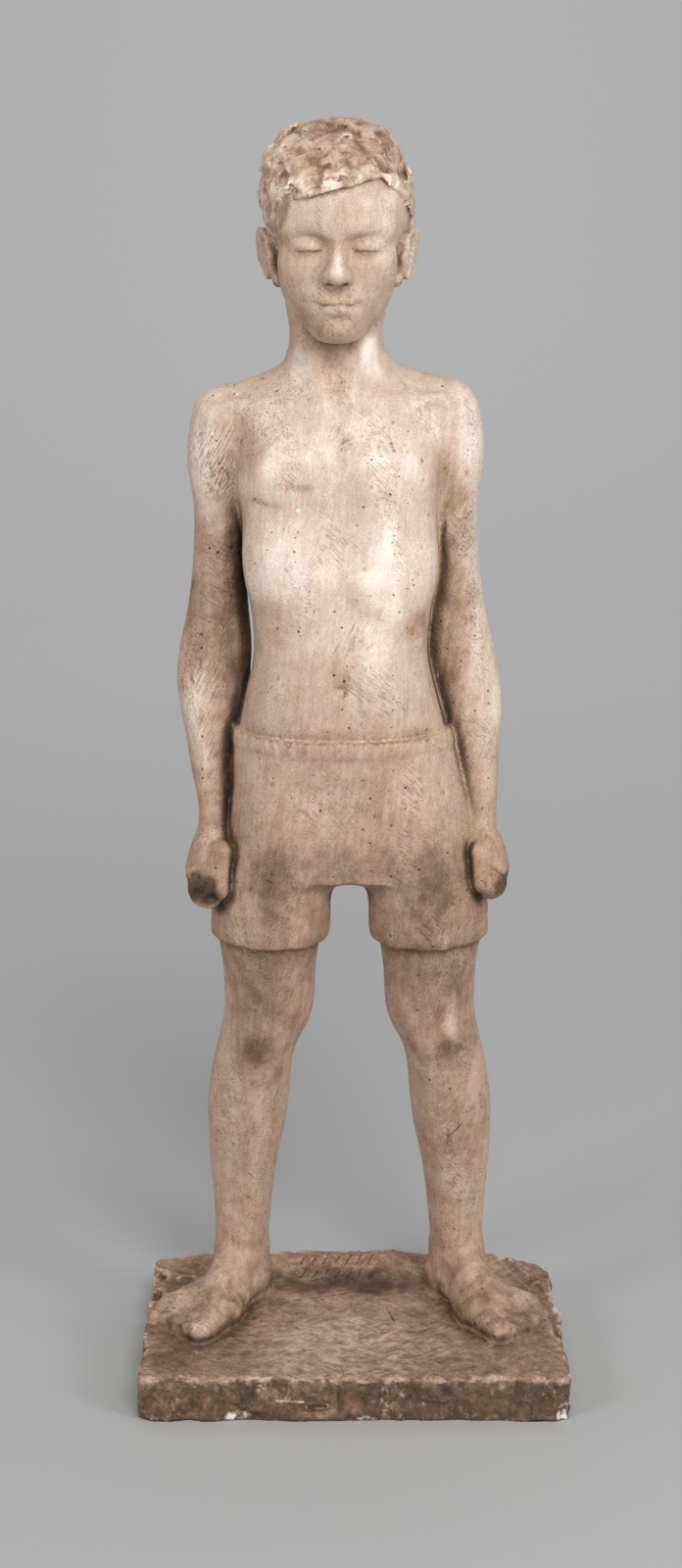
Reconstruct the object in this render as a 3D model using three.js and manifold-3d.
// A statuette of a boy who stands with his feet apart and his fists at his sides, about half life
// size. The boy, his short trunks and the low plinth under his feet are one solid plaster cast.
// Millimetres, +Z up, the boy faces -Y, and the origin is the middle of the plinth's underside.
//
// The cast is modelled as a sculptor models clay: rounded forms are added and blended, hollows are
// pressed in, and one skin is then drawn over the whole. A form here is a function that gives the
// distance from a point to its surface, below zero inside it.
import * as THREE from "three";
import { mergeVertices } from "three/addons/utils/BufferGeometryUtils.js";
import Module from "manifold-3d";

// Driving dimensions of the plinth
const PLINTH_WIDTH = 251;
const PLINTH_DEPTH = 175;
const PLINTH_HEIGHT = 27;
const PLINTH_CORNER = 4;
const BROKEN_CORNER = 33;
const EDGE_WEAR = 2.2;
const BACK_RIDGE = 6;
const SIDE_SLANT = 0.02;
const HEEL_DIP = 1.5;

// Driving dimensions of the boy. Offsets are measured sideways from his middle line.
const LEG_MIDDLE = -3.5;
const FOOT_TURN_OUT = THREE.MathUtils.degToRad(25);
const HEEL = { offset: 62, y: 46 };
const HEAD_MIDDLE = new THREE.Vector3(-10.5, -2, 672.3);
const HEAD_HEIGHT = 110;
const HEAD_BOW = THREE.MathUtils.degToRad(8);
const FIST = { offset: 79.5, y: -3, z: 306 };
const SHOULDER_RISE = 1.8;
const SKULL = { middle: [0, 6, 14], radii: [39.5, 48, 42], toChin: 72 };
const HAIR = { thickness: 3.4, dabs: 170, relief: 1.1, slope: 7, roundness: 60, fringeRise: 0.06 };

// Driving dimensions of the trunks
const WAIST = 391;
const HEM = 262;
const CLOTH = 2.2;
const WAISTBAND = { height: 9, extra: 0.9 };
const FLARE = 1.6;
const FOLD = 0.9;

// The skin is drawn on a grid of this spacing, from a little below the ground to above the head,
// then thinned out to this many triangles. From the chin up a change of shape counts for more.
const GRID = 2;
const GRID_ROOM = 6;
const BELOW_GROUND = 5;
const GRID_TOP = 742;
const TRIANGLES = 9400;
const CHIN = 608;
const CARE_ABOVE_CHIN = 5;

// His middle line leans a little to one side above the hips: height, then sideways place. The arms
// hang about a line of their own.
const SPINE = [
  [0, -3.5],
  [300, -3.5],
  [345, -4],
  [400, -8.3],
  [480, -8.7],
  [560, -11],
  [740, -11],
];
const ARMS_MIDDLE = [
  [280, -5.1],
  [345, -4.8],
  [368, -6.5],
  [391, -7.9],
  [426, -10.5],
  [538, -11.5],
  [620, -10.5],
];

// Outlines of the limbs, from the top down. Each row is one level cut through the limb: its height,
// its middle sideways and front to back, and its half width and half depth.
const TORSO = [
  [598, 0, 14, 23, 19],
  [582, 0, 13, 47, 29],
  [562, 0, 11, 58, 36],
  [535, 0, 9, 57, 39.5],
  [508, 0, 7, 55, 40.5],
  [480, 0, 5, 54, 39],
  [455, 0, 4, 50.5, 37.5],
  [432, 0, 4, 49.6, 37.5],
  [408, 0, 5, 55, 38.5],
  [385, 0, 7, 60.5, 39],
  [357, 0, 9, 64.5, 40],
  [330, 0, 10, 66, 38],
  [308, 0, 10, 58, 30],
];
const NECK = [
  [560, 0, 16, 31, 26],
  [592, 0, 13, 27.5, 25.5],
  [612, 0, 11, 26, 24.5],
  [632, 0, 8, 25, 21],
  [652, 0, 3, 22, 17],
];
const ARM = [
  [574, 62.5, 14, 15, 17],
  [545, 66.5, 14, 16.2, 19.5],
  [512, 65.7, 16, 14.6, 19],
  [480, 66.8, 19, 15.2, 18.5],
  [455, 68, 22, 17.6, 18.5],
  [435, 69.8, 22, 20.5, 19],
  [418, 71.8, 20, 21.1, 18.5],
  [400, 73.3, 17, 19.4, 17.5],
  [380, 75.4, 13, 14.8, 15.5],
  [360, 76.4, 9, 11.8, 13],
  [340, 76.4, 5, 9.5, 11.5],
  [322, 76.6, 1, 10.5, 13],
];
const LEG = [
  [378, 27, 12, 22, 24],
  [350, 31, 10, 31, 39],
  [315, 39, 10, 32, 38],
  [297, 43.5, 11, 31.5, 36.5],
  [270, 46.7, 12, 30.6, 33.5],
  [245, 47, 15, 27.3, 30.5],
  [220, 47.5, 18, 26.2, 28],
  [208, 49.8, 19.5, 25.3, 27],
  [195, 54.4, 21, 23.4, 25.5],
  [182, 57.6, 23.5, 23.4, 24.5],
  [160, 60.3, 28, 24.2, 25],
  [142, 61.7, 30, 23.3, 23.5],
  [117, 63.8, 33, 20.4, 20],
  [90, 64.6, 35, 17.5, 17],
  [64, 65.3, 37, 16, 17.5],
  [45, 65, 40, 16, 19],
  [24, 65, 42, 16, 20],
];

const clamp = THREE.MathUtils.clamp;
const lerp = THREE.MathUtils.lerp;

// A smooth curve through rows of numbers. The first number of a row is where the row stands.
function curveThrough(rows) {
  const sorted = [...rows].sort((a, b) => a[0] - b[0]);
  const last = sorted.length - 1;
  const slope = (i, c) => {
    const before = sorted[Math.max(i - 1, 0)];
    const after = sorted[Math.min(i + 1, last)];
    return (after[c] - before[c]) / (after[0] - before[0]);
  };
  return (at) => {
    const t = clamp(at, sorted[0][0], sorted[last][0]);
    let i = 0;
    while (i < last - 1 && t > sorted[i + 1][0]) i++;
    const span = sorted[i + 1][0] - sorted[i][0];
    const u = (t - sorted[i][0]) / span;
    return sorted[i].slice(1).map((value, k) => {
      const c = k + 1;
      const start = value * (1 + 2 * u) * (1 - u) ** 2 + slope(i, c) * span * u * (1 - u) ** 2;
      return start + sorted[i + 1][c] * u * u * (3 - 2 * u) - slope(i + 1, c) * span * u * u * (1 - u);
    });
  };
}

// The same curve read off in steps of 1 mm, which is quick to look up.
function tableOf(rows) {
  const curve = curveThrough(rows);
  const low = Math.min(...rows.map((row) => row[0]));
  const high = Math.max(...rows.map((row) => row[0]));
  const table = [];
  for (let at = low; at <= high; at++) table.push(curve(at));
  return { low, high, at: (z) => table[clamp(Math.round(z - low), 0, table.length - 1)] };
}

const spineTable = tableOf(SPINE);
const spine = (z) => spineTable.at(z)[0];
const armsTable = tableOf(ARMS_MIDDLE);
const armsMiddle = (z) => armsTable.at(z)[0];

// Joins two distances with a fillet about k wide.
function blend(a, b, k) {
  const h = Math.max(k - Math.abs(a - b), 0) / k;
  return Math.min(a, b) - (h * h * k) / 4;
}

// Presses form b out of form a, with a rounded edge about k wide.
function press(a, b, k) {
  return -blend(-a, b, k);
}

// Distance to an ellipsoid about the origin.
function ellipsoidDistance(x, y, z, [rx, ry, rz]) {
  const near = Math.hypot(x / rx, y / ry, z / rz);
  const far = Math.hypot(x / (rx * rx), y / (ry * ry), z / (rz * rz));
  const deepest = -Math.min(rx, ry, rz);
  return near < 1e-6 ? deepest : Math.max((near * (near - 1)) / far, deepest);
}

// A form with the box that it can reach, so that it is skipped elsewhere.
const REACH = 14;
function form(distance, low, high, k) {
  return { distance, k, low: low.map((v) => v - REACH), high: high.map((v) => v + REACH) };
}

// An ellipsoid, turned about X, Y and Z by the angles in degrees.
function ellipsoid(middle, radii, k, turn = [0, 0, 0]) {
  const turned = new THREE.Euler(...turn.map(THREE.MathUtils.degToRad));
  const back = new THREE.Matrix3()
    .setFromMatrix4(new THREE.Matrix4().makeRotationFromEuler(turned))
    .transpose().elements;
  const widest = Math.max(...radii);
  return form(
    (x, y, z) => {
      const px = x - middle[0];
      const py = y - middle[1];
      const pz = z - middle[2];
      return ellipsoidDistance(
        back[0] * px + back[3] * py + back[6] * pz,
        back[1] * px + back[4] * py + back[7] * pz,
        back[2] * px + back[5] * py + back[8] * pz,
        radii,
      );
    },
    middle.map((v) => v - widest),
    middle.map((v) => v + widest),
    k,
  );
}

// A round bar between two points, with its own radius at each end.
function taper(from, to, startRadius, endRadius, k) {
  const along = to.map((v, i) => v - from[i]);
  const lengthSquared = along.reduce((sum, v) => sum + v * v, 0);
  const widest = Math.max(startRadius, endRadius);
  return form(
    (x, y, z) => {
      const px = x - from[0];
      const py = y - from[1];
      const pz = z - from[2];
      const t = clamp((px * along[0] + py * along[1] + pz * along[2]) / lengthSquared, 0, 1);
      const gap = Math.hypot(px - t * along[0], py - t * along[1], pz - t * along[2]);
      return gap - lerp(startRadius, endRadius, t);
    },
    from.map((v, i) => Math.min(v, to[i]) - widest),
    from.map((v, i) => Math.max(v, to[i]) + widest),
    k,
  );
}

// A limb with oval level cuts. Side is 1 or -1 for a limb that has a twin, and squareness above 2
// makes the cuts fuller at their corners.
function limb(rows, side, squareness, k, middleLine) {
  const table = tableOf(rows);
  const reach = Math.max(...rows.map((row) => Math.abs(row[1]) + row[3]));
  const deep = Math.max(...rows.map((row) => Math.abs(row[2]) + row[4]));
  return form(
    (x, y, z) => {
      const [offset, middleY, halfWidth, halfDepth] = table.at(z);
      const u = Math.abs(x - middleLine(z) - side * offset) / halfWidth;
      const v = Math.abs(y - middleY) / halfDepth;
      const norm = (u ** squareness + v ** squareness) ** (1 / squareness);
      const steep = Math.hypot(
        u ** (squareness - 1) / halfWidth,
        v ** (squareness - 1) / halfDepth,
      );
      const flat = norm < 1e-3 ? -halfWidth : ((norm - 1) * norm ** (squareness - 1)) / steep;
      return Math.max(flat, table.low - z, z - table.high);
    },
    [-reach - 20, -deep, table.low],
    [reach + 20, deep, table.high],
    k,
  );
}

// One field from many forms: the first group is added, and the second is pressed in.
function model(added, pressed = []) {
  const inReach = (f, x, y, z) =>
    z > f.low[2] && z < f.high[2] && x > f.low[0] && x < f.high[0] && y > f.low[1] && y < f.high[1];
  return (x, y, z) => {
    let d = REACH;
    for (const f of added) if (inReach(f, x, y, z)) d = blend(d, f.distance(x, y, z), f.k);
    for (const f of pressed) if (inReach(f, x, y, z)) d = press(d, f.distance(x, y, z), f.k);
    return d;
  };
}

const SIDES = [-1, 1];
const bothSides = (make) => SIDES.flatMap(make);
const smoothStep = THREE.MathUtils.smoothstep;

// Torso, seat and legs in one, with the muscles that show.
function hipsAndLegs() {
  const at = (side, offset, y, z) => [spine(z) + side * offset, y, z];
  const added = [
    limb(TORSO, 0, 2.5, 1, spine),
    ...bothSides((s) => [
      limb(LEG, s, 2.1, 9, () => LEG_MIDDLE),
      ellipsoid(at(s, 26, -17.5, 535), [25, 13.5, 20], 14, [0, 0, s * 12]),
      ellipsoid(at(s, 27, -14.5, 488), [24, 15, 32], 14, [0, s * 6, 0]),
      ellipsoid(at(s, 33, 38, 536), [18, 10, 24], 10, [0, s * 8, 0]),
      ellipsoid(at(s, 26, 33, 336), [27, 22, 27], 12),
      ellipsoid(at(s, 51, 0.5, 203), [11.5, 8, 13], 8),
      ellipsoid(at(s, 37, 10, 223), [9, 14, 15], 8),
      ellipsoid(at(s, 60, 43, 152), [15, 10, 28], 9),
      ellipsoid(at(s, 54, 36, 58), [4, 6, 6], 5),
      ellipsoid(at(s, 78, 40, 54), [4, 6, 6], 5),
    ]),
    ellipsoid(at(1, 0, -12.5, 410), [42, 22, 44], 14),
    ellipsoid(at(1, 0, 4, 326), [38, 29, 24], 14),
    ellipsoid(at(1, 0, 32, 338), [24, 20, 27], 10),
  ];
  const pressed = [
    taper(at(1, 0, -43, 560), at(1, 0, -44, 500), 4, 4, 10),
    taper(at(1, 0, 55, 560), at(1, 0, 47, 415), 6, 6, 14),
  ];
  return model(added, pressed);
}

// Neck, collar bones, the tops of the shoulders, and both arms. One shoulder is a little higher.
function shouldersAndArms() {
  const at = (side, offset, y, z) => [armsMiddle(z) + side * offset, y, z + side * SHOULDER_RISE];
  return model([
    limb(NECK, 0, 2, 1, spine),
    ...bothSides((s) => [
      taper(at(s, 14, 15, 581), at(s, 58, 14, 568.5), 19, 17, 10),
      ellipsoid(at(s, 65, 14, 550), [17.2, 20, 33.5], 7),
      taper(at(s, 9, -13.5, 571), at(s, 54, -3, 573), 3.5, 3, 9),
      taper([spine(632) + s * 22, 4, 632], [spine(580) + s * 7, -12, 580], 5, 5, 9),
      limb(ARM, s, 2.1, 6, armsMiddle),
      ellipsoid([armsMiddle(452) + s * 71, 36, 452], [8, 8, 12], 9),
    ]),
  ]);
}

// Fists: the palm and the back of the hand, four curled fingers and the thumb over them. The fist
// on the -X side is the bulkier one.
function fists() {
  return model(
    bothSides((s) => {
      const bulk = 1 - 0.09 * s;
      const at = (offset, y, z) => [
        armsMiddle(FIST.z) + s * (FIST.offset + 1.2 * s + bulk * offset),
        FIST.y + y * bulk,
        FIST.z + s + z * bulk,
      ];
      const sized = (radii) => radii.map((r) => r * bulk);
      const fingers = [-12, -4, 4, 12].map((y, i) =>
        ellipsoid(at(2, y + 2, -5 - 0.8 * Math.abs(i - 1)), sized([10.5, 5, 11.5]), 2.5),
      );
      return [
        taper(at(-1, 2, 18), at(0, 2, 6), 10 * bulk, 12 * bulk, 6),
        ellipsoid(at(0.5, 2, 2), sized([12, 16, 19]), 5),
        ...fingers,
        taper(at(-6, -10, 14), at(-5, -14, -6), 6 * bulk, 5 * bulk, 4),
      ];
    }),
  );
}

// Feet, heel to toe along the turned-out axis, each with five toes.
function feet() {
  return model(
    bothSides((s) => {
      const forward = [s * Math.sin(FOOT_TURN_OUT), -Math.cos(FOOT_TURN_OUT)];
      const outward = [s * Math.cos(FOOT_TURN_OUT), Math.sin(FOOT_TURN_OUT)];
      const at = (along, out, up) => [
        LEG_MIDDLE + s * HEEL.offset + along * forward[0] + out * outward[0],
        HEEL.y + along * forward[1] + out * outward[1],
        PLINTH_HEIGHT + up,
      ];
      const turn = [0, 0, s * THREE.MathUtils.radToDeg(FOOT_TURN_OUT)];
      const smallToes = [1, 2, 3, 4].map((i) =>
        taper(at(69 - 3.4 * i, -12 + 9 * i, 7.5), at(86 - 5 * i, -11.5 + 9 * i, 4.8), 5.4, 4.8, 2.2),
      );
      return [
        ellipsoid(at(0, 0, 9), [13.5, 13, 15], 6, turn),
        taper(at(8, 0, 30), at(56, -3, 9), 12.5, 10, 9),
        ellipsoid(at(56, 2, 5), [22, 20, 9.5], 7, turn),
        taper(at(4, 5, 10), at(57, 16, 6), 10, 8, 8),
        taper(at(4, -5, 10), at(60, -12, 8), 9, 8.5, 8),
        taper(at(64, -13, 8), at(86, -11, 6), 7.8, 7, 3),
        ...smallToes,
      ];
    }),
  );
}

// The head in its own frame, upright, with the face towards -Y.
function uprightHead() {
  const face = [
    ellipsoid(SKULL.middle, SKULL.radii, 1),
    ellipsoid([0, -16, 9], [35, 26, 26], 8),
    ellipsoid([0, -17, -18], [30, 24, 28], 8),
    ellipsoid([0, -12, -31], [25, 28, 23], 9),
    ellipsoid([0, -33, -49], [11, 10.5, 9.5], 9),
    ...bothSides((s) => [
      taper([s * 23.5, 5, -25], [s * 8, -30, -49], 8.5, 7.5, 9),
      ellipsoid([s * 18, -26.5, -15.5], [13.5, 11.5, 14], 9),
      ellipsoid([s * 16, -19, -29], [12.5, 14, 15], 9),
      taper([s * 7, -38.8, 6.5], [s * 26, -30.5, 5], 3.6, 3.2, 8),
      ellipsoid([s * 5.2, -42.6, -19.4], [3.8, 5, 3.8], 3.5),
      taper([s * 10, -39.6, -34.6], [s * 2, -43.4, -32.4], 1.7, 1.9, 2),
      taper([s * 8, -39.8, -36.4], [s * 2, -42.2, -38], 2.1, 2.3, 2.5),
    ]),
    taper([0, -38.2, 2], [0, -45.6, -15.5], 3.8, 4.8, 6),
    ellipsoid([0, -47.6, -17.6], [5, 4.6, 4.6], 4),
    ellipsoid([0, -34.5, -35], [15, 9.5, 11], 9),
  ];
  const hollows = [
    ...bothSides((s) => [ellipsoid([s * 15.2, -45, -2.6], [10, 8, 6], 6)]),
    ellipsoid([0, -47.6, -35], [10.5, 4.4, 0.9], 1.2),
    ellipsoid([0, -46.4, -43.4], [7, 3.8, 2.4], 3.5),
  ];
  const eyesAndEars = bothSides((s) => [
    ellipsoid([s * 15.2, -32, -3.4], [9, 8.4, 6.6], 2),
    ellipsoid([s * 32.5, 15, -15], [8, 9, 16], 5),
    ellipsoid([s * 37.4, 9, -17.5], [4.2, 11.5, 17.5], 3, [8, s * 12, -s * 37]),
    taper([s * 32, 2, -31], [s * 35, 4, -23], 4, 3.2, 4),
  ]);
  const earHollows = bothSides((s) => [
    ellipsoid([s * 41.2, 6, -14.5], [3.2, 5.2, 9], 2, [8, s * 12, -s * 37]),
  ]);
  const skull = model(face, hollows);
  const features = model(eyesAndEars, earHollows);
  return (x, y, z) => blend(skull(x, y, z), features(x, y, z), 2);
}

// How low the hair comes, from the fringe over the forehead round to the nape, in the head's frame.
const hairline = tableOf([
  [-60, 27],
  [-34, 25],
  [-22, 21],
  [-14, 2],
  [-6, -4],
  [4, 8],
  [16, 0],
  [28, -22],
  [60, -30],
]);

// Dabs of clay spread evenly over the skull by the golden angle. Each one stands at its own height
// and slopes its own way, so that it overlaps its neighbours with a ledge.
const GOLDEN_ANGLE = Math.PI * (3 - Math.sqrt(5));
const hairDabs = [...Array(HAIR.dabs).keys()].map((i) => {
  const up = 1 - (2 * i + 1) / HAIR.dabs;
  const round = i * GOLDEN_ANGLE;
  const level = Math.sqrt(1 - up * up);
  return {
    place: [level * Math.cos(round), level * Math.sin(round), up],
    slope: [Math.sin(3.1 * i), Math.sin(5.3 * i + 1), Math.sin(7.7 * i + 2)],
    height: HAIR.relief * Math.sin(2.3 * i + 0.7),
  };
});

// The height of the topmost dab in a direction from the middle of the skull.
function dabHeight(direction) {
  const dot = (a, b) => a[0] * b[0] + a[1] * b[1] + a[2] * b[2];
  let nearest = hairDabs[0];
  let best = -1;
  for (const dab of hairDabs) {
    const near = dot(dab.place, direction);
    if (near > best) {
      best = near;
      nearest = dab;
    }
  }
  const gone = direction.map((v, i) => v - nearest.place[i]);
  return nearest.height + HAIR.slope * dot(nearest.slope, gone) - HAIR.roundness * dot(gone, gone);
}

// Cropped hair: a cap of dabs over the skull, fuller at the top of both sides, which ends in a ledge
// at the hairline.
const tufts = [
  ellipsoid([-25.5, 2, 33], [10.5, 15, 12], 6),
  ellipsoid([-13, 4, 39.5], [16, 20, 14], 6),
  ellipsoid([14, 4, 38.5], [17, 18, 14.5], 6),
];
function uprightHair(x, y, z) {
  const fromMiddle = [x, y, z].map((v, i) => v - SKULL.middle[i]);
  let cap = ellipsoidDistance(...fromMiddle, SKULL.radii);
  for (const tuft of tufts) cap = blend(cap, tuft.distance(x, y, z), tuft.k);
  if (Math.abs(cap) > REACH) return cap;
  const stretched = fromMiddle.map((v, i) => v / SKULL.radii[i]);
  const size = Math.hypot(...stretched);
  const lift = HAIR.thickness + dabHeight(stretched.map((v) => v / size));
  const cover = smoothStep(z - hairline.at(y)[0] - HAIR.fringeRise * x, -1, 2);
  return cap - cover * lift + (1 - cover) * 3;
}

// Head and hair, bowed forward and set in place.
function head() {
  const upright = uprightHead();
  const scale = HEAD_HEIGHT / (SKULL.radii[2] + SKULL.toChin);
  const cosine = Math.cos(HEAD_BOW);
  const sine = Math.sin(HEAD_BOW);
  return (x, y, z) => {
    const px = x - HEAD_MIDDLE.x;
    const dy = y - HEAD_MIDDLE.y;
    const dz = z - HEAD_MIDDLE.z;
    if (dz < -90 || Math.abs(px) > 70) return REACH;
    const py = dy * cosine + dz * sine;
    const pz = (dz * cosine - dy * sine) / scale;
    return blend(upright(px, py, pz), uprightHair(px, py, pz), 1);
  };
}

// The trunks follow the hips and thighs at the cloth's thickness, looser towards the hem, with
// folds that run down from the fork and a band at the waist.
function trunks(hips, x, y, z) {
  const waist = WAIST + 0.05 * y;
  const down = clamp((waist - z) / (WAIST - HEM), 0, 1);
  const across = Math.abs(x - LEG_MIDDLE);
  const folds = Math.sin(0.24 * across + 0.09 * z) * Math.sin(0.11 * y + 0.8);
  const band = smoothStep(z - (waist - WAISTBAND.height), -0.6, 0.6) * WAISTBAND.extra;
  const stand = CLOTH + FLARE * down * down + FOLD * down * folds + band;
  return Math.max(hips - stand, z - waist, HEM + 0.04 * across - z);
}

// The plinth: a cut slab with worn sides. The +X side runs in towards the back, where its corner is
// broken away round. The uneven top dips behind the heels and rises to a ridge along the back edge.
function plinth(x, y, z) {
  const worn = (s, phase) => -EDGE_WEAR * Math.sin(0.043 * s + phase) ** 2;
  const runsIn = x > 0 ? SIDE_SLANT * (y + PLINTH_DEPTH / 2) : 0;
  const halfWidth = PLINTH_WIDTH / 2 - runsIn + worn(y, 0.3) * (x > 0 ? 1 : 0.2);
  const halfDepth = PLINTH_DEPTH / 2 + worn(x, 1.2) * 0.5;
  const corner = x > 0 && y > 0 ? BROKEN_CORNER : PLINTH_CORNER;
  const qx = Math.abs(x) - halfWidth + corner;
  const qy = Math.abs(y) - halfDepth + corner;
  const outline = Math.min(Math.max(qx, qy), 0) + Math.hypot(Math.max(qx, 0), Math.max(qy, 0));
  const aside = Math.abs(x);
  const ridgeAcross = 1 - 0.35 * smoothStep(aside, 20, 60) - 0.65 * smoothStep(aside, 85, 120);
  const ridge = smoothStep(y, 58, 82) * ridgeAcross;
  const dip = smoothStep(y, 30, 52) * (1 - smoothStep(y, 56, 74)) * (1 - smoothStep(aside, 50, 90));
  const waves = 0.7 * Math.sin(0.05 * x + 0.6) * Math.cos(0.06 * y) + 0.6 * Math.sin(0.11 * x) * ridge;
  const top = PLINTH_HEIGHT + BACK_RIDGE * ridge - HEEL_DIP * dip + waves;
  return -blend(-(outline - corner), -(z - top), 3);
}

// The whole cast as one field.
function statuette() {
  const hips = hipsAndLegs();
  const arms = shouldersAndArms();
  const hands = fists();
  const bothFeet = feet();
  const wholeHead = head();
  return (x, y, z) => {
    const body = hips(x, y, z);
    // Above the armpits the arms grow out of the chest. Below them a thin gap parts one arm from it,
    // and plaster fills the gap of the other.
    const armpit = lerp(x > 0 ? 5 : 1.2, 10, smoothStep(z, 496, 530));
    let d = Math.min(body, trunks(body, x, y, z));
    d = blend(d, arms(x, y, z), armpit);
    d = blend(d, hands(x, y, z), 2);
    d = blend(d, wholeHead(x, y, z), 6);
    d = blend(d, bothFeet(x, y, z), 6);
    return blend(d, plinth(x, y, z), 3);
  };
}

// Draws a closed skin over a field: one vertex in each grid cell that the surface crosses, and one
// four-sided face round each grid edge that it crosses.
const BLOCK = 4;
function skinOf(field, low, high, step) {
  const count = low.map((v, i) => Math.ceil((high[i] - v) / step / BLOCK) * BLOCK + 1);
  const [nx, ny, nz] = count;
  const values = new Float32Array(nx * ny * nz);
  const index = (i, j, k) => (k * ny + j) * nx + i;
  const eachNode = (i0, j0, k0, visit) => {
    for (let k = k0; k < Math.min(k0 + BLOCK, nz); k++)
      for (let j = j0; j < Math.min(j0 + BLOCK, ny); j++)
        for (let i = i0; i < Math.min(i0 + BLOCK, nx); i++) visit(i, j, k);
  };
  const fieldAt = (i, j, k) => field(low[0] + i * step, low[1] + j * step, low[2] + k * step);

  // A block of the grid whose middle is far from the surface is all inside or all outside.
  const far = BLOCK * step * 1.3;
  const blocks = [];
  for (let k = 0; k < nz; k += BLOCK)
    for (let j = 0; j < ny; j += BLOCK)
      for (let i = 0; i < nx; i += BLOCK) {
        const middle = fieldAt(i + BLOCK / 2, j + BLOCK / 2, k + BLOCK / 2);
        const isFar = Math.abs(middle) > far;
        if (!isFar) blocks.push([i, j, k]);
        eachNode(i, j, k, (a, b, c) => {
          values[index(a, b, c)] = isFar ? middle : fieldAt(a, b, c);
        });
      }

  // Where the nodes round a grid square lie inside and outside by turns, the skin would touch itself
  // along an edge. Filling the shallower outside node parts it.
  const squares = [[1, nx], [nx, nx * ny], [nx * ny, 1]];
  const fillAt = (n) => {
    let filled = 0;
    for (const [s, t] of squares) {
      const inside = values[n] < 0;
      if (inside !== values[n + s + t] < 0) continue;
      if (inside === values[n + s] < 0 || inside === values[n + t] < 0) continue;
      const outside = inside ? [n + s, n + t] : [n, n + s + t];
      values[values[outside[0]] < values[outside[1]] ? outside[0] : outside[1]] = -0.05 * step;
      filled++;
    }
    return filled;
  };
  for (let filled = 1; filled > 0; ) {
    filled = 0;
    for (const block of blocks) eachNode(...block, (i, j, k) => (filled += fillAt(index(i, j, k))));
  }

  const corners = [...Array(8).keys()].map((c) => [c & 1, (c >> 1) & 1, c >> 2]);
  const edges = corners.flatMap((a, p) =>
    [0, 1, 2].filter((axis) => a[axis] === 0).map((axis) => [p, p + (1 << axis), axis]),
  );
  const cellVertex = new Int32Array(nx * ny * nz).fill(-1);
  const points = [];
  const placeVertex = (i, j, k) => {
    const d = corners.map(([a, b, c]) => values[index(i + a, j + b, k + c)]);
    const inside = d.filter((v) => v < 0).length;
    if (inside === 0 || inside === 8) return;
    const sum = [0, 0, 0];
    let crossings = 0;
    for (const [p, q, axis] of edges) {
      if (d[p] < 0 === d[q] < 0) continue;
      corners[p].forEach((v, n) => (sum[n] += v));
      sum[axis] += d[p] / (d[p] - d[q]);
      crossings++;
    }
    cellVertex[index(i, j, k)] = points.length;
    points.push([i, j, k].map((v, n) => low[n] + step * (v + sum[n] / crossings)));
  };
  for (const block of blocks) eachNode(...block, placeVertex);

  const faces = [];
  const placeFaces = (i, j, k) => {
    for (let axis = 0; axis < 3; axis++) {
      const next = [i, j, k];
      next[axis]++;
      const here = values[index(i, j, k)] < 0;
      if (here === values[index(...next)] < 0) continue;
      const ring = [[0, 0], [1, 0], [1, 1], [0, 1]].map(([a, b]) => {
        const cell = [i, j, k];
        cell[(axis + 1) % 3] -= a;
        cell[(axis + 2) % 3] -= b;
        return cellVertex[index(...cell)];
      });
      if (!here) ring.reverse();
      faces.push([ring[0], ring[1], ring[2]], [ring[0], ring[2], ring[3]]);
    }
  };
  for (const block of blocks) eachNode(...block, placeFaces);
  return { points, faces };
}

// A heap that gives back the entry with the least cost.
class Heap {
  entries = [];
  push(entry) {
    let i = this.entries.push(entry) - 1;
    while (i > 0) {
      const up = (i - 1) >> 1;
      if (this.entries[up].cost <= entry.cost) break;
      this.entries[i] = this.entries[up];
      i = up;
    }
    this.entries[i] = entry;
  }
  pop() {
    const least = this.entries[0];
    const entry = this.entries.pop();
    const size = this.entries.length;
    for (let i = 0, down = 1; size > 0; i = down, down = 2 * i + 1) {
      if (down + 1 < size && this.entries[down + 1].cost < this.entries[down].cost) down++;
      if (down >= size || this.entries[down].cost >= entry.cost) {
        this.entries[i] = entry;
        break;
      }
      this.entries[i] = this.entries[down];
    }
    return least;
  }
}

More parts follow.
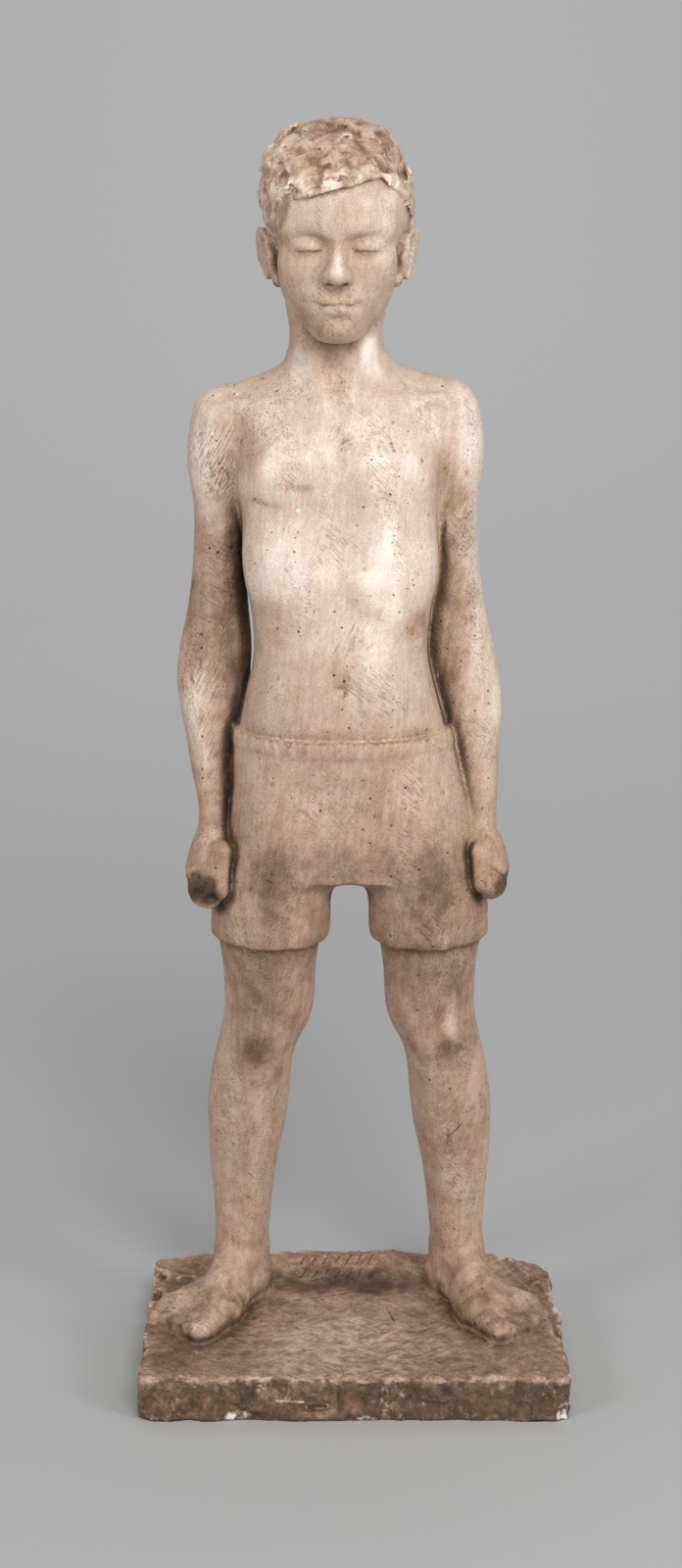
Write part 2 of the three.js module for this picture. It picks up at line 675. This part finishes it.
// Thins a closed mesh out by merging the two ends of an edge, always where that changes the shape
// least, so that the flat stretches give up their triangles and the features keep theirs. Care is a
// function that says how much a change matters at a point.
function thinOut({ points, faces }, wanted, care) {
  const SHORT_EDGES_FIRST = 2e-3;
  const subtract = (a, b) => [a[0] - b[0], a[1] - b[1], a[2] - b[2]];
  const cross = (a, b) => [
    a[1] * b[2] - a[2] * b[1],
    a[2] * b[0] - a[0] * b[2],
    a[0] * b[1] - a[1] * b[0],
  ];
  const dot = (a, b) => a[0] * b[0] + a[1] * b[1] + a[2] * b[2];
  const normalOf = ([a, b, c], moved = -1, to = null) => {
    const at = (v) => (moved === v ? to : points[v]);
    return cross(subtract(at(b), at(a)), subtract(at(c), at(a)));
  };

  // Each vertex keeps the sum of squared distances to the planes of its first faces, as ten numbers.
  const planes = points.map(() => new Float64Array(10));
  const facesOf = points.map(() => new Set());
  faces.forEach((face, f) => {
    const n = normalOf(face);
    const area = Math.hypot(...n) || 1;
    const [a, b, c] = n.map((v) => v / area);
    const d = -dot([a, b, c], points[face[0]]);
    const terms = [a * a, a * b, a * c, a * d, b * b, b * c, b * d, c * c, c * d, d * d];
    for (const v of face) {
      const weight = (area / 2) * care(points[v]);
      terms.forEach((term, i) => (planes[v][i] += term * weight));
      facesOf[v].add(f);
    }
  });
  const errorAt = (q, [x, y, z]) =>
    q[0] * x * x + 2 * q[1] * x * y + 2 * q[2] * x * z + 2 * q[3] * x + q[4] * y * y +
    2 * q[5] * y * z + 2 * q[6] * y + q[7] * z * z + 2 * q[8] * z + q[9];

  // The point with the least error, or the middle of the edge where the planes don't settle it.
  const bestPoint = (q, a, b) => {
    const middle = a.map((v, i) => (v + b[i]) / 2);
    const matrix = new THREE.Matrix3().set(q[0], q[1], q[2], q[1], q[4], q[5], q[2], q[5], q[7]);
    const size = q[0] + q[4] + q[7];
    if (Math.abs(matrix.determinant()) < 1e-3 * size ** 3) return middle;
    const best = new THREE.Vector3(-q[3], -q[6], -q[8]).applyMatrix3(matrix.invert()).toArray();
    const far = Math.hypot(...subtract(best, middle)) > 2 * Math.hypot(...subtract(a, b));
    return far ? middle : best;
  };

  const stamp = new Int32Array(points.length);
  const heap = new Heap();
  const offer = (a, b) => {
    const q = planes[a].map((v, i) => v + planes[b][i]);
    const place = bestPoint(q, points[a], points[b]);
    const length = Math.hypot(...subtract(points[a], points[b]));
    const cost = errorAt(q, place) + SHORT_EDGES_FIRST * length * length;
    heap.push({ cost, a, b, place, stamps: stamp[a] + stamp[b] });
  };
  const neighbours = (v) => new Set([...facesOf[v]].flatMap((f) => faces[f]).filter((w) => w !== v));
  points.forEach((_, a) => neighbours(a).forEach((b) => a < b && offer(a, b)));

  let left = faces.length;
  while (left > wanted && heap.entries.length) {
    const { a, b, place, stamps } = heap.pop();
    if (!points[a] || !points[b] || stamp[a] + stamp[b] !== stamps) continue;
    const aroundA = neighbours(a);
    const aroundB = neighbours(b);
    if (!aroundA.has(b) || [...aroundA].filter((v) => aroundB.has(v)).length !== 2) continue;
    const turnsOver = (v, other) =>
      [...facesOf[v]].some((f) => {
        if (faces[f].includes(other)) return false;
        const before = normalOf(faces[f]);
        const after = normalOf(faces[f], v, place);
        return dot(before, after) < 0.25 * Math.hypot(...before) * Math.hypot(...after);
      });
    if (turnsOver(a, b) || turnsOver(b, a)) continue;
    for (const f of facesOf[b]) {
      if (faces[f].includes(a)) {
        faces[f].forEach((v) => v !== b && facesOf[v].delete(f));
        faces[f] = null;
        left--;
      } else {
        faces[f] = faces[f].map((v) => (v === b ? a : v));
        facesOf[a].add(f);
      }
    }
    facesOf[b].clear();
    planes[b].forEach((v, i) => (planes[a][i] += v));
    points[a] = place;
    points[b] = null;
    stamp[a] += 1;
    neighbours(a).forEach((v) => offer(a, v));
  }
  return { points, faces: faces.filter(Boolean) };
}

function geometryOf({ points, faces }) {
  const place = new Map();
  const positions = [];
  for (const v of faces.flat())
    if (!place.has(v)) {
      place.set(v, place.size);
      positions.push(...points[v]);
    }
  return new THREE.BufferGeometry()
    .setAttribute("position", new THREE.Float32BufferAttribute(positions, 3))
    .setIndex(faces.flat().map((v) => place.get(v)));
}

const wasm = await Module();
wasm.setup();

function solidOf(geometry) {
  const bare = geometry.clone();
  bare.deleteAttribute("normal");
  bare.deleteAttribute("uv");
  const merged = mergeVertices(bare, 1e-4);
  return new wasm.Manifold(
    new wasm.Mesh({
      numProp: 3,
      vertProperties: merged.getAttribute("position").array,
      triVerts: new Uint32Array(merged.index.array),
    }),
  );
}

// The modelled form runs below the ground, and is sawn off flat there, so that it stands.
function sawnFlat(geometry) {
  const ROOM = 100;
  const ground = new THREE.BoxGeometry(PLINTH_WIDTH + ROOM, PLINTH_DEPTH + ROOM, ROOM);
  ground.translate(0, 0, -ROOM / 2);
  const mesh = solidOf(geometry).subtract(solidOf(ground)).getMesh();
  return new THREE.BufferGeometry()
    .setAttribute("position", new THREE.BufferAttribute(mesh.vertProperties, mesh.numProp))
    .setIndex(new THREE.BufferAttribute(mesh.triVerts, 1));
}

function boyOnPlinth() {
  const cast = statuette();
  const field = (x, y, z) => Math.max(cast(x, y, z), -BELOW_GROUND - z);
  const halfWidth = PLINTH_WIDTH / 2 + GRID_ROOM;
  const halfDepth = PLINTH_DEPTH / 2 + GRID_ROOM;
  const low = [-halfWidth, -halfDepth, -BELOW_GROUND - 2 * GRID];
  const high = [halfWidth, halfDepth, GRID_TOP];
  const care = ([, , z]) => (z > CHIN ? CARE_ABOVE_CHIN : 1);
  const skin = thinOut(skinOf(field, low, high, GRID), TRIANGLES, care);
  const geometry = sawnFlat(geometryOf(skin));
  geometry.computeVertexNormals();
  const plaster = new THREE.MeshStandardMaterial({ color: 0xcfae93, roughness: 0.62, metalness: 0 });
  const mesh = new THREE.Mesh(geometry, plaster);
  mesh.name = "boy_on_plinth";
  return mesh;
}

const group = new THREE.Group();
group.name = "standing_boy_statuette";
group.add(boyOnPlinth());

export default group;
